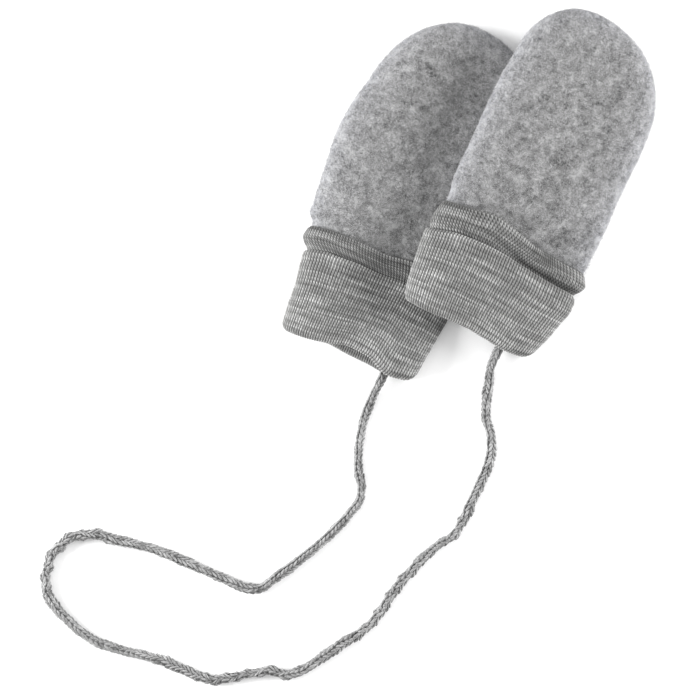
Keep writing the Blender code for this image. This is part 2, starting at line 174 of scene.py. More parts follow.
# The knitted pattern as steps of arithmetic: each step's name, its operation and its
# inputs, which are numbers or the names of other results. x and y run round the wrist
# and along the cloth, slack is 1 on the slack band, and streak is the yarn's drift.
# shade is painted shade, of the stitches' legs, of the hollows between wales and over
# the slack band.
KNIT_STEPS = (
    # name         operation       inputs
    ("across",      "MULTIPLY",     "x", WALES_ROUND),
    ("along",       "MULTIPLY",     "y", CUFF_CLOTH_LENGTH / COURSE_PITCH),
    ("centred",     "ADD",          "across", 0.5),
    ("wale",        "FLOOR",        "centred"),
    ("in_wale",     "FRACT",        "centred"),
    ("from_middle", "SUBTRACT",     "in_wale", 0.5),
    ("beside",      "ABSOLUTE",     "from_middle"),
    ("climb",       "MULTIPLY_ADD", "beside", 0.7, "along"),
    ("slant",       "MULTIPLY_ADD", "from_middle", 0.9, "climb"),
    ("leg",         "PINGPONG",     "slant", 0.5),
    ("course",      "FLOOR",        "slant"),
    ("drift",       "MULTIPLY",     "across", 0.065),
    ("ply",         "SNAP",         "slant", 0.5),
    ("apart",       "MULTIPLY",     "ply", 3.7),
    ("long",        "MULTIPLY",     "across", 0.06),
    ("few",         "MULTIPLY",     "along", 0.5),
    ("plain",       "MULTIPLY_ADD", "streak", 2.25, -0.62),
    ("off",         "SUBTRACT",     "streak", 0.5),
    ("on_band",     "MULTIPLY",     "off", "slack"),
    ("bold",        "ADD",          "on_band", "plain"),
    # Painted shade: darker on the stitches' legs, in the hollows between wales (less so on the slack
    # band), and over the whole slack band
    ("hollow",      "MULTIPLY",     "beside", 2.0),
    ("sunk",        "POWER",        "hollow", 2.5),
    ("calm",        "MULTIPLY_ADD", "slack", -0.5, 1.0),
    ("calmer",      "MULTIPLY",     "sunk", "calm"),
    ("legs",        "MULTIPLY_ADD", "leg", 1.15, "calmer"),
    ("closer",      "MULTIPLY_ADD", "slack", 0.35, "legs"),
    ("shade",       "MULTIPLY",     "closer", 0.82),
)

# The cord: its wales and the pitch of its loops; the rings and sides of each leg's mesh,
# half its length as a share of the pitch, its yarn's radius, how far in from the cord's
# surface its middle lies, how far it dives from end to end, where it lies beside its
# wale's middle and how far it spreads, in radians; how much a leg's length, place,
# radius and depth differ; and the core under the loops
CORD_DIAMETER = 4.2
CORD_WALES = 3
CORD_LOOP_PITCH = 2.3
CORD_CURVE_STEPS = 24
CORD_POINT_SPACING = 1.0
LEG_RINGS = 7
LEG_SIDES = 6
LEG_HALF_LENGTH_SHARE = 0.80
YARN_RADIUS = 0.56
LEG_INSET = 0.50
LEG_DIVE = 0.42
LEG_BESIDE = 0.56
LEG_SPREAD = 0.40
LEG_TAPER = 0.85
UNEVEN_LENGTH = 0.08
UNEVEN_PLACE = 0.10
UNEVEN_RADIUS = 0.08
UNEVEN_DEPTH = 0.07
CORE_INSET = 0.95
CORE_SIDES = 8

# Waves along the cord, as size, length and phase, where length is the distance for a
# turn of 1 radian: how its wales turn round it, how its fullness changes, and how the
# pitch of its hard twists drifts
TURN_WAVES = ((0.60, 41.0, 0.0), (0.35, 17.0, 1.0))
FULLNESS_WAVES = ((0.06, 4.3, 0.0), (0.04, 2.3, 0.0))
PITCH_WAVES = ((0.25, 13.0, 0.0),)

# How full the slack knit of the cord is, as a share of its usual thickness, and the
# distance from the left mouth's end of the cord at which it is so
CORD_FULLNESS = (
    # distance  fullness
    (0.0,   0.97),
    (40.0,  0.93),
    (85.0,  0.93),
    (125.0, 1.03),
    (165.0, 1.06),
    (185.0, 0.96),
    (203.0, 1.18),
    (225.0, 1.04),
    (245.0, 1.10),
    (285.0, 0.98),
    (312.0, 1.14),
    (345.0, 0.97),
    (385.0, 1.12),
    (408.0, 1.00),
    (425.0, 1.10),
    (445.0, 0.90),
    (480.0, 1.03),
    (510.0, 0.97),
)

# How hard the cord is twisted at each distance, the pitch of such a twist, and how far
# it turns in radians, bulges as a share of the thickness, and sways
CORD_TWISTS = (
    # distance  hardness
    (0.0,   0.15),
    (192.0, 0.25),
    (204.0, 1.00),
    (234.0, 1.00),
    (246.0, 0.20),
    (296.0, 0.25),
    (304.0, 0.70),
    (312.0, 0.25),
    (322.0, 0.90),
    (356.0, 0.90),
    (368.0, 0.20),
    (408.0, 0.60),
    (430.0, 0.60),
    (446.0, 0.20),
    (452.0, 0.80),
    (462.0, 0.80),
    (470.0, 0.15),
)
TWIST_PITCH = 10.4
TWIST_TURN = 0.5
TWIST_BULGE = 0.15
TWIST_SWAY = 0.45

# The camera looks straight down; the picture is 301 mm wide where the cloth lies
PICTURE_WIDTH = 301.0
PICTURE_CENTRE = (-51.0, -66.4)
PICTURE_HEIGHT_OVER_FLOOR = 4.0
LENS = 300.0
SENSOR = 36.0

# Each soft box's name, its place in metres and its power in watts; their width in
# metres, the strength of the white light all round, and half the floor's width
SOFT_BOXES = (
    ("soft_box_left", (-1.2, 0.1, 0.42), 30.0),
    ("soft_box_right", (1.2, 0.1, 0.28), 27.0),
)
SOFT_BOX_WIDTH = 0.8
WHITE_LIGHT = 0.86
FLOOR_HALF_WIDTH = 3000.0


@dataclass(frozen=True)
class Section:
    """The fleece's outer size across one line, and the thickness of its wall."""
    distance: float
    left: float
    right: float
    bottom: float
    top: float
    wall: float


@dataclass(frozen=True)
class CuffSection:
    """The cuff's outer size across one line."""
    distance: float
    left: float
    right: float
    top: float


@dataclass(frozen=True)
class CuffLine:
    """Where the cuff's edges run, at one share of its half-width from the middle,
    how deep the crease near the turn-up's top edge and the valley above it are there,
    and how far the band's wales lean over between its foot and its top."""
    across: float
    mouth: float
    mouth_under: float
    turn_up: float
    band: float
    crease: float
    valley: float
    shift: float


@dataclass(frozen=True)
class Crease:
    """A soft trough in the turned-up jersey, from one end to the other."""
    start_across: float
    start_distance: float
    end_across: float
    end_distance: float
    depth: float
    width: float


@dataclass(frozen=True)
class Mitten:
    """One mitten: where its mouth lies, how far it is turned, its tables, how far its
    left and right mouth corners are rounded, how far its wales slant up the turn-up,
    and how it leans or is pressed down."""
    name: str
    mouth_x: float
    mouth_y: float
    turn: float
    sections: tuple
    tip: float
    tip_across: float
    left_round_start: float
    right_round_start: float
    cuff_sections: tuple
    cuff_lines: tuple
    creases: tuple
    corners: tuple
    slant: float = 0.0
    lean: float = 0.0
    press: float = 0.0


LEFT = Mitten(
    name="left",
    mouth_x=-52.7,
    mouth_y=-68.2,
    turn=22.5,
    sections=(
        Section(distance=41.5, left=-34.3, right=33.2, bottom=1.7, top=11.2, wall=1.6),
        Section(distance=46.5, left=-34.8, right=32.4, bottom=1.7, top=11.3, wall=1.6),
        Section(distance=51.0, left=-37.8, right=31.4, bottom=1.2, top=11.9, wall=2.2),
        Section(distance=57.0, left=-38.1, right=29.8, bottom=0.0, top=13.6, wall=3.0),
        Section(distance=70.0, left=-39.2, right=27.8, bottom=0.0, top=15.6, wall=3.0),
        Section(distance=84.0, left=-40.2, right=26.6, bottom=0.0, top=16.6, wall=3.0),
        Section(distance=98.0, left=-39.2, right=26.2, bottom=0.0, top=17.0, wall=3.0),
        Section(distance=112.0, left=-36.6, right=26.0, bottom=0.0, top=17.0, wall=3.0),
    ),
    tip=151.4,
    tip_across=-1.2,
    left_round_start=105.0,
    right_round_start=135.0,
    cuff_sections=(
        CuffSection(distance=0.0, left=-30.4, right=31.0, top=11.6),
        CuffSection(distance=10.0, left=-31.1, right=32.2, top=12.0),
        CuffSection(distance=20.0, left=-31.7, right=33.5, top=12.2),
        CuffSection(distance=30.0, left=-33.1, right=34.8, top=12.4),
        CuffSection(distance=36.0, left=-33.9, right=35.3, top=12.6),
        CuffSection(distance=42.0, left=-36.2, right=35.4, top=13.0),
        CuffSection(distance=48.0, left=-36.4, right=34.6, top=13.0),
    ),
    cuff_lines=(
        # across, mouth, mouth_under, turn_up, band, crease, valley, shift
        CuffLine(-1.0, -0.6, -0.6, 34.8, 45.3, 0.1, 0.6, 0.0),
        CuffLine(-0.7, -0.3, 0.2, 37.4, 46.7, 0.6, 0.3, -1.2),
        CuffLine(-0.35, 1.3, 1.2, 37.6, 47.0, 0.65, 0.2, -2.0),
        CuffLine(0.0, 3.5, 0.2, 37.4, 46.3, 0.25, 0.6, -1.8),
        CuffLine(0.3, 2.7, -0.4, 38.0, 47.5, 0.0, 1.5, -1.5),
        CuffLine(0.65, -1.6, -1.4, 38.0, 48.0, 0.0, 1.5, 0.0),
        CuffLine(1.0, -0.4, -0.4, 36.0, 46.0, 0.0, 0.6, 0.0),
    ),
    creases=(
        # start_across, start_distance, end_across, end_distance, depth, width
        Crease(-32.0, 45.0, -8.0, 43.0, 0.30, 1.1),
        Crease(-6.0, 42.5, 24.0, 45.0, 0.25, 1.2),
        Crease(6.0, 34.0, 26.0, 33.0, 0.35, 1.6),
        Crease(-25.0, 14.0, 2.0, 17.0, 0.25, 3.0),
    ),
    corners=(1.9, 3.2),
    slant=0.08,
    press=0.44,
)

RIGHT = Mitten(
    name="right",
    mouth_x=-1.9,
    mouth_y=-58.3,
    turn=24.5,
    sections=(
        Section(distance=41.5, left=-30.5, right=36.3, bottom=1.7, top=11.2, wall=1.6),
        Section(distance=50.5, left=-30.3, right=36.6, bottom=1.7, top=11.3, wall=1.6),
        Section(distance=57.0, left=-31.2, right=36.9, bottom=0.0, top=13.4, wall=3.0),
        Section(distance=70.0, left=-31.4, right=37.1, bottom=0.0, top=15.6, wall=3.0),
        Section(distance=88.0, left=-31.4, right=37.1, bottom=0.0, top=17.0, wall=3.0),
        Section(distance=106.0, left=-31.4, right=36.9, bottom=0.0, top=17.0, wall=3.0),
        Section(distance=118.0, left=-30.3, right=36.8, bottom=0.0, top=17.0, wall=3.0),
    ),
    tip=147.5,
    tip_across=-5.0,
    left_round_start=117.0,
    right_round_start=110.0,
    cuff_sections=(
        CuffSection(distance=0.0, left=-29.6, right=30.8, top=11.6),
        CuffSection(distance=10.0, left=-31.3, right=33.4, top=12.0),
        CuffSection(distance=20.0, left=-32.2, right=35.8, top=12.2),
        CuffSection(distance=30.0, left=-33.0, right=38.0, top=12.4),
        CuffSection(distance=36.0, left=-33.2, right=37.8, top=12.6),
        CuffSection(distance=42.0, left=-32.4, right=39.0, top=13.0),
        CuffSection(distance=48.0, left=-32.0, right=38.0, top=13.0),
    ),
    cuff_lines=(
        # across, mouth, mouth_under, turn_up, band, crease, valley, shift
        CuffLine(-1.0, 1.8, 1.8, 33.6, 47.5, 0.0, 0.5, 0.0),
        CuffLine(-0.6, 1.0, 2.0, 37.0, 49.3, 0.15, 0.0, -1.4),
        CuffLine(-0.3, 1.4, 2.2, 37.4, 50.8, 0.3, 0.0, 2.0),
        CuffLine(0.0, 1.5, 2.2, 36.8, 48.3, 0.3, 0.7, 3.8),
        CuffLine(0.3, 0.6, 1.6, 35.4, 45.8, 0.2, 1.5, 1.6),
        CuffLine(0.65, -0.5, 0.6, 34.0, 44.6, 0.1, 1.5, -2.8),
        CuffLine(1.0, 0.6, 0.6, 33.2, 43.8, 0.0, 0.5, 0.0),
    ),
    creases=(
        # start_across, start_distance, end_across, end_distance, depth, width
        Crease(-31.0, 41.0, -12.0, 40.5, 0.35, 1.2),
        Crease(-28.0, 44.5, -16.0, 45.5, 0.25, 1.0),
        Crease(-14.0, 42.0, 14.0, 37.5, 0.45, 1.6),
        Crease(0.0, 44.5, 34.0, 39.5, 0.30, 1.3),
        Crease(-30.0, 29.0, -12.0, 31.5, 0.25, 1.4),
        Crease(11.0, 52.0, 13.5, 42.0, 0.5, 1.5),
    ),
    corners=(1.2, 3.4),
    lean=8.6,
)

# The cord's route from inside the left mouth to inside the right one, as x, y and height
CORD_ROUTE = (
    (-30.4, -62.8, 5.1),
    (-33.4, -69.6, 5.3),
    (-36.7, -77.4, 4.9),
    (-39.4, -82.6, 3.3),
    (-42.2, -88.6, 2.2),
    (-46.1, -100.8, 2.2),
    (-47.6, -115.0, 2.2),
    (-46.2, -126.0, 2.2),
    (-48.5, -133.5, 2.2),
    (-62.7, -148.7, 2.2),
    (-82.4, -163.9, 2.2),
    (-92.4, -169.3, 2.2),
    (-108.6, -163.4, 2.2),
    (-132.5, -153.1, 2.2),
    (-150.0, -148.5, 2.2),
    (-165.2, -145.6, 2.2),
    (-176.4, -151.0, 2.2),
    (-181.4, -160.6, 2.2),
    (-180.8, -172.2, 2.2),
    (-171.8, -183.2, 2.2),
    (-158.6, -192.6, 2.2),
    (-134.0, -199.4, 2.2),
    (-121.8, -204.3, 2.2),
    (-110.8, -208.2, 2.2),
    (-98.7, -206.6, 2.2),
    (-87.1, -204.5, 2.2),
    (-74.4, -205.3, 2.2),
    (-56.0, -193.9, 2.2),
    (-42.2, -184.3, 2.2),
    (-30.0, -167.5, 2.2),
    (-16.4, -153.0, 2.2),
    (-5.1, -144.4, 2.2),
    (2.6, -129.1, 2.2),
    (8.6, -115.6, 2.2),
    (9.8, -104.9, 2.2),
    (7.4, -93.9, 2.2),
    (8.8, -81.0, 2.2),
    (9.6, -74.4, 3.0),
    (12.7, -66.4, 5.2),
    (20.6, -52.6, 5.4),
)


# Curves, fields and frames

def curve_through(xs, ys, x):
    """Monotone cubic curve through (xs, ys): cubic pieces whose slopes are harmonic
    means of the neighbours', level past both ends."""
    xs = np.asarray(xs, float)
    ys = np.asarray(ys, float)
    step = np.diff(xs)
    slope = np.diff(ys) / step
    tangent = np.zeros(len(xs))
    tangent[0] = slope[0]
    tangent[-1] = slope[-1]
    before = slope[:-1]
    after = slope[1:]
    same_way = before * after > 0
    mean = 2 * before * after / np.where(same_way, before + after, 1)
    tangent[1:-1] = np.where(same_way, mean, 0)
    x = np.clip(x, xs[0], xs[-1])
    i = np.clip(np.searchsorted(xs, x, side="right") - 1, 0, len(step) - 1)
    t = (x - xs[i]) / step[i]
    value = ys[i] * (2 * t**3 - 3 * t**2 + 1) + ys[i + 1] * (3 * t**2 - 2 * t**3)
    value += step[i] * tangent[i] * (t**3 - 2 * t**2 + t)
    value += step[i] * tangent[i + 1] * (t**3 - t**2)
    return value


def column(table, name, x, key="distance"):
    """A table's column, read between its rows."""
    xs = [getattr(row, key) for row in table]
    ys = [getattr(row, name) for row in table]
    return curve_through(xs, ys, x)


def eased(x):
    """0 to 1, with a level start and end: 3x^2 - 2x^3."""
    x = np.clip(x, 0, 1)
    return x * x * (3 - 2 * x)


def rounded(share, squareness):
    """Square root of 1 - |share|^squareness: 1 in the middle, upright at the edge."""
    return np.sqrt(np.clip(1 - np.abs(share)**squareness, 0, 1))


def rounded_edge(inward, rounding):
    """1 further in than the rounding, down to 0 at the edge as a quarter circle."""
    share = np.clip(1 - inward / rounding, 0, 1)
    return np.sqrt(1 - share**2)


def lumps(points, size, seed):
    """Smooth random field from -1 to 1: random values on a cubic lattice of that
    size, blended between the eight nearest corners by the eased rule."""
    place = points @ LATTICE_TILT / size
    cell = np.floor(place).astype(np.int64)
    share = eased(place - cell)
    total = np.zeros(points.shape[:-1])
    for corner in np.ndindex(2, 2, 2):
        at = cell + np.array(corner)
        mixed = at[..., 0] * 73856093 ^ at[..., 1] * 19349663 ^ at[..., 2] * 83492791
        mixed = (mixed + seed * 2654435761) & 0x7FFFFFFF
        mixed = ((mixed >> 15) ^ mixed) * 2246822519 & 0x7FFFFFFF
        mixed = ((mixed >> 13) ^ mixed) * 3266489917 & 0x7FFFFFFF
        value = mixed / 0x3FFFFFFF - 1
        near = np.where(np.array(corner) == 1, share, 1 - share)
        total += value * near.prod(axis=-1)
    return total


def relief(points, fields):
    """Sum of random fields: each field's depth times its lumps."""
    return sum(depth * lumps(points, size, seed) for depth, size, seed in fields)


def waves(distance, terms):
    """Sum of sine waves: each one's size times the sine of distance over length, plus
    its phase."""
    return sum(size * np.sin(distance / length + phase) for size, length, phase in terms)


def unit(vectors):
    """Vectors of length 1 along the given ones."""
    return vectors / np.maximum(np.linalg.norm(vectors, axis=-1, keepdims=True), 1e-9)


def grid_normals(points):
    """Normal at each point of a grid: the cross product of its two directions."""
    along = np.gradient(points, axis=0)
    across = np.gradient(points, axis=1)
    return unit(np.cross(across, along))


def placed(mitten, distance, across, height):
    """World place, in millimetres, of points given along, across and above a mitten."""
    lean = mitten.lean * eased((LEAN_START - across) / LEAN_WIDTH)
    ease_off = eased((distance - LEAN_EASE_START) / LEAN_EASE_LENGTH)
    lean = lean * (1 - LEAN_EASE_SHARE * ease_off)
    press = mitten.press * eased((across - PRESS_START) / PRESS_WIDTH)
    press = press * eased((distance - PRESS_CUFF_START) / PRESS_CUFF_LENGTH)
    turn = radians(mitten.turn)
    x = mitten.mouth_x + distance * np.sin(turn) + across * np.cos(turn)
    y = mitten.mouth_y + distance * np.cos(turn) - across * np.sin(turn)
    z = height * (1 - press) + lean
    return np.stack(np.broadcast_arrays(x, y, z), axis=-1)


# Meshes

def add_object(name, points, faces, material):
    """A mesh object from points in millimetres and faces, with its material."""
    mesh = bpy.data.meshes.new(name)
    mesh.from_pydata((points * MM).tolist(), [], faces)
    mesh.materials.append(material)
    mesh.shade_smooth()
    made = bpy.data.objects.new(name, mesh)
    bpy.context.scene.collection.objects.link(made)
    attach(made, "root")
    return made


def face_outwards(made):
    """Turns a closed mesh's faces outwards."""
    bm = bmesh.new()
    bm.from_mesh(made.data)
    bmesh.ops.recalc_face_normals(bm, faces=bm.faces)
    bm.to_mesh(made.data)
    bm.free()


def grid_quads(index):
    """Quads of a grid of point numbers, in the order along columns, then rows."""
    first = index[:-1, :-1].ravel()
    second = index[:-1, 1:].ravel()
    third = index[1:, 1:].ravel()
    fourth = index[1:, :-1].ravel()
    return np.stack([first, second, third, fourth], axis=1)


def lay_flat(made, across, along):
    """The piece's own UV map, named OFBake, from the given places across and along."""
    layer = made.data.uv_layers.new(name="OFBake")
    corner = np.empty(len(made.data.loops), int)
    made.data.loops.foreach_get("vertex_index", corner)
    flat = np.stack([across[corner], along[corner]], axis=1)
    layer.data.foreach_set("uv", flat.ravel())


# Fleece

def fleece_edge(mitten, side, distance, inset):
    """Where the fleece's left or right edge lies: its table's curve, then a quarter
    ellipse round the tip."""
    inward = 1 if side == "left" else -1
    start = mitten.left_round_start if side == "left" else mitten.right_round_start
    edge = column(mitten.sections, side, distance) + inward * inset
    share = np.clip((distance - start) / (mitten.tip - inset - start), 0, 1)
    return mitten.tip_across + (edge - mitten.tip_across) * np.sqrt(1 - share**2)


def fleece_stations(mitten, inner, spacing):
    """Distances and insets of the rows: even up to the tip, then closer, as the sine."""
    start = min(mitten.left_round_start, mitten.right_round_start)
    first = mitten.sections[0].distance
    straight = np.linspace(first, start, int((start - first) / spacing) + 1)
    wall = mitten.sections[-1].wall if inner else 0.0
    reach = mitten.tip - wall - start
    turn = np.linspace(0, pi / 2, int(1.5 * reach / spacing) + 1)[1:]
    distance = np.concatenate([straight, start + reach * np.sin(turn)])
    inset = column(mitten.sections, "wall", distance) if inner else np.zeros(len(distance))
    return distance[:, None], inset[:, None]


def fleece_face(mitten, part, inner, spacing):
    """Grid of one face of a panel, along by across, and each point's way to the seam.
    An upper panel's height is the edge's plus the rise to the top times the rounded
    shares across and along, and a lower one's the edge's less the drop to the bottom
    times the rounded edges at the sides and at the tip."""
    distance, inset = fleece_stations(mitten, inner, spacing)
    left = fleece_edge(mitten, "left", distance, inset)
    right = fleece_edge(mitten, "right", distance, inset)
    count = int(1.25 * (right[0, 0] - left[0, 0]) / spacing)
    share = np.sin(np.linspace(-pi / 2, pi / 2, count + 1))[None, :]
    half_width = np.maximum((right - left) / 2, 1e-4)
    across = (left + right) / 2 + share * half_width
    bottom = column(mitten.sections, "bottom", distance)
    top = column(mitten.sections, "top", distance)
    middle = bottom + EDGE_HEIGHT_SHARE * (top - bottom)
    to_tip = np.maximum(mitten.tip - inset - distance, 0)
    if part == "upper":
        crown = np.clip(1 - to_tip / FLEECE_CROWN_LENGTH, 0, 1)
        rise = rounded(share, FLEECE_TOP_SQUARENESS) * rounded(crown, FLEECE_TIP_SQUARENESS)
        height = middle + (top - inset - middle) * rise
    else:
        rounding = np.minimum(FLEECE_ROUNDING, half_width)
        sides = rounded_edge(half_width * (1 - np.abs(share)), rounding)
        end = rounded_edge(to_tip, FLEECE_ROUNDING)
        height = middle - (middle - bottom - inset) * sides * end
    grid = placed(mitten, distance, across, height)
    grid[-1] = grid[-1, len(share[0]) // 2]
    return grid, np.minimum(half_width * (1 - np.abs(share)), to_tip)


def clumps(points):
    """Field of the felted clumps, about -1 to 1: coarse lumps and fine ones added up.
    Height, tone and fibres all follow it."""
    return relief(points, FELT_CLUMPS)


def felted(points, normals, strength):
    """Points moved along their normals by broad dents and the felted clumps."""
    height = relief(points, FELT_DENTS) + FELT_CLUMP_DEPTH * clumps(points)
    return points + normals * (strength * height)[..., None]


def fleece_panel(mitten, part, material):
    """One fleece panel: a felted outer face, a plain inner face, and the strips that
    join them at the seam and at the cuff end."""
    outer, to_seam = fleece_face(mitten, part, False, FLEECE_SPACING)
    inner, _ = fleece_face(mitten, part, True, FLEECE_INSIDE_SPACING)
    normals = grid_normals(outer)
    if part == "lower":
        normals = -normals
    turn = radians(mitten.turn)
    normals[-1] = unit(np.array([np.sin(turn), np.cos(turn), 0]))
    strength = 1.0
    if part == "lower":
        strength = eased((outer[..., 2] - FLEECE_RELIEF_START) / RELIEF_FADE)
    outer = felted(outer, normals, strength)
    rows = inner.shape[0]
    columns = inner.shape[1]
    row_at = np.linspace(0, outer.shape[0] - 1, rows).round().astype(int)
    column_at = np.linspace(0, outer.shape[1] - 1, columns).round().astype(int)
    outer_index = np.arange(outer.shape[0] * outer.shape[1]).reshape(outer.shape[:2])
    outer_index[-1] = outer_index[-1, 0]
    start = outer_index.max() + outer.shape[1]
    inner_index = start + np.arange(rows * columns).reshape(rows, columns)
    inner_index[-1] = inner_index[-1, 0]
    faces = [grid_quads(outer_index), grid_quads(inner_index)[:, ::-1]]
    faces = [face for block in faces for face in block.tolist()]
    faces = [tuple(dict.fromkeys(face)) for face in faces]
    edges = [
        (outer_index[:, 0], inner_index[:, 0], row_at),
        (outer_index[:, -1], inner_index[:, -1], row_at),
        (outer_index[0], inner_index[0], column_at),
    ]
    for outside, inside, at in edges:
        for k in range(len(inside) - 1):
            run = outside[at[k]:at[k + 1] + 1].tolist()
            face = tuple(dict.fromkeys(run + [int(inside[k + 1]), int(inside[k])]))
            faces.append(face)
    points = np.concatenate([outer.reshape(-1, 3), inner.reshape(-1, 3)])
    made = add_object(f"{mitten.name}_mitten_{part}_fleece", points, faces, material)
    # Closeness to the seam, where the nap is painted paler as a painted sheen
    rim = np.exp(-to_seam / RIM_WIDTH)
    inside = np.full(rows * columns, 0.5)
    for field, values in (("rim", rim), ("clump", 0.5 + 0.5 * clumps(outer))):
        layer = made.data.attributes.new(field, "FLOAT", "POINT")
        layer.data.foreach_set("value", np.concatenate([values.ravel(), inside]))
    loose_free(made)
    face_outwards(made)
    return made, outer, normals, rim


def loose_free(made):
    """Removes points that no face uses."""
    bm = bmesh.new()
    bm.from_mesh(made.data)
    loose = [vertex for vertex in bm.verts if not vertex.link_faces]
    bmesh.ops.delete(bm, geom=loose, context="VERTS")
    bm.to_mesh(made.data)
    bm.free()


# Fibres that stand off the fleece and the cord

def scattered(points, normals, count, random, keep=None):
    """Places spread evenly over a grid's area, with the normal there."""
    first = points[:-1, :-1]
    side = points[:-1, 1:] - first
    up = points[1:, :-1] - first
    area = np.linalg.norm(np.cross(side, up), axis=-1)
    if keep is not None:
        area = area * keep[:-1, :-1]
    chosen = random.choice(area.size, count, p=(area / area.sum()).ravel())
    row, col = np.unravel_index(chosen, area.shape)
    u = random.random((count, 1))
    v = random.random((count, 1))
    below = points[row, col] * (1 - u) + points[row, col + 1] * u
    above = points[row + 1, col] * (1 - u) + points[row + 1, col + 1] * u
    return below * (1 - v) + above * v, normals[row, col]


def fibres(name, roots, normals, random, material):
    """Tapered ribbons of three triangles: each leaves its root at the lift angle,
    turns over and lies down, in its own direction over the cloth or on the floor."""
    count = len(roots)
    random_way = random.normal(size=(count, 3))
    lying = unit(random_way - (random_way * normals).sum(1, keepdims=True) * normals)
    aside = np.cross(normals, lying)
    angle = radians(FIBRE_LIFT) * (0.35 + 1.1 * random.random((count, 1))**2)
    half = FIBRE_LENGTH * (0.55 + 0.9 * random.random((count, 1))) / 2
    curl = random.normal(size=(count, 1)) * FIBRE_CURL
    start = roots - normals * FIBRE_ROOT_DEPTH
    middle = start + half * (lying * np.cos(angle) + normals * np.sin(angle))
    rise = normals * np.sin(angle) * random.normal(size=(count, 1)) * 0.5
    end = middle + half * unit(lying + aside * curl + rise)
    wide = aside * FIBRE_WIDTH / 2
    narrower = wide * 0.8
    corners = [start - wide, start + wide, middle - narrower, middle + narrower, end]
    points = np.stack(corners, axis=1)
    points[..., 2] = np.maximum(points[..., 2], LOWEST_FIBRE)
    base = 5 * np.arange(count)[:, None]
    faces = np.concatenate([base + [0, 1, 3], base + [0, 3, 2], base + [2, 3, 4]])
    points = points.reshape(-1, 3)
    made = add_object(name, points, faces.tolist(), material)
    span = np.ptp(points[:, :2], axis=0).max()
    flat = (points[:, :2] - points[:, :2].min(axis=0)) / span
    lay_flat(made, flat[:, 0], flat[:, 1])
    return made


# Jersey cuffs

def cuff_profile():
    """Distance, inset, crease and valley shares, share of the whole way round, and 1 on
    the slack band, for each mesh row round the closed profile, curved through the
    table's places."""
    table = np.array([row[1:] for row in CUFF_PROFILE])
    loop = np.vstack([table, table[:1]])
    chord = np.linalg.norm(np.diff(loop[:, :2], axis=0), axis=1)
    walked = np.concatenate([[0], np.cumsum(chord)])
    steps = np.maximum(np.ceil(chord / table[:, 4]).astype(int), 1)
    rows = [
        np.linspace(start, end, count + 1)[:-1]
        for start, end, count in zip(walked, walked[1:], steps)
    ]
    at = np.concatenate(rows)
    profile = [curve_through(walked, loop[:, k], at)[:, None] for k in range(4)]
    foot = [row[0] for row in CUFF_PROFILE].index("pocket, top")
    return profile, at / walked[-1], np.where(at >= walked[foot], 1.0, 0.0)


def round_share(turn):
    """Share of the half-width and whether it is the upper side, for a turn from 0 at
    the left edge over the top to 1 at the right edge and back below to 2."""
    upper = turn <= 1
    share = np.where(upper, np.sin(pi * (turn - 0.5)), np.sin(pi * (1.5 - turn)))
    return share, upper


def cuff_surface(mitten, profile, turn):
    """Grid round the flattened cuff: across is the half-width times the share, and
    height is the edge's plus or less the rounded rise, as in the solids. The wales'
    slant and shift slide the points over that surface without changing it."""
    distance, inset, crease, valley = profile
    share, upper = round_share(turn)
    share = share[None, :] + np.zeros_like(distance)
    left = column(mitten.cuff_sections, "left", distance) + inset
    right = column(mitten.cuff_sections, "right", distance) - inset
    top = column(mitten.cuff_sections, "top", distance)
    middle = EDGE_HEIGHT_SHARE * top
    half_width = (right - left) / 2
    over_band = eased((distance - TURN_UP_LINE) / (BAND_LINE - TURN_UP_LINE))
    from_middle = np.minimum(distance, TURN_UP_LINE) - TURN_UP_LINE / 2
    slide = mitten.slant * from_middle * (1 - share**2)
    slide = slide + over_band * column(mitten.cuff_lines, "shift", share, key="across")
    share = share + np.where(upper, slide, 0) / half_width
    across = (left + right) / 2 + share * half_width
    line = {
        name: column(mitten.cuff_lines, name, share, key="across")
        for name in ("mouth", "mouth_under", "turn_up", "band", "crease", "valley")
    }
    mouth = np.where(upper, line["mouth"], line["mouth_under"])
    low = distance / TURN_UP_LINE
    high = (distance - TURN_UP_LINE) / (BAND_LINE - TURN_UP_LINE)
    along = np.where(
        distance < TURN_UP_LINE,
        mouth + (line["turn_up"] - mouth) * low,
        line["turn_up"] + (line["band"] - line["turn_up"]) * high,
    )
    rounding = np.where(share < 0, *mitten.corners)
    corner = 1 - rounded_edge(half_width * (1 - np.abs(share)), rounding)
    along = along + rounding * corner * np.clip(1 - distance / CORNER_REACH, 0, 1)
    up_fold = (distance - FOLD_CORNER_START) / (TURN_UP_LINE - FOLD_CORNER_START)
    near_fold = np.where(distance <= TURN_UP_LINE, np.clip(up_fold, 0, 1), 0)
    near_top = np.clip((distance - BAND_CORNER_START) / (BAND_LINE - BAND_CORNER_START), 0, 1)
    fold_corner = FOLD_CORNER_SHARE * (rounding - SQUAREST_CORNER) * near_fold
    along = along - corner * (fold_corner + BAND_CORNER_DEPTH * near_top)
    above = middle + (top - inset - middle) * rounded(share, CUFF_TOP_SQUARENESS)
    above = above - crease * line["crease"] - valley * line["valley"]
    outside = eased((CREASED_INSET - inset) / CREASED_INSET_FADE)
    for fold in mitten.creases:
        above = above - outside * fold.depth * trough(fold, along, across)
    sides = rounded_edge(half_width * (1 - np.abs(share)), CUFF_ROUNDING)
    below = middle - (middle - np.maximum(inset, 0)) * sides
    height = np.where(upper, above, below)
    return placed(mitten, along, across, height)


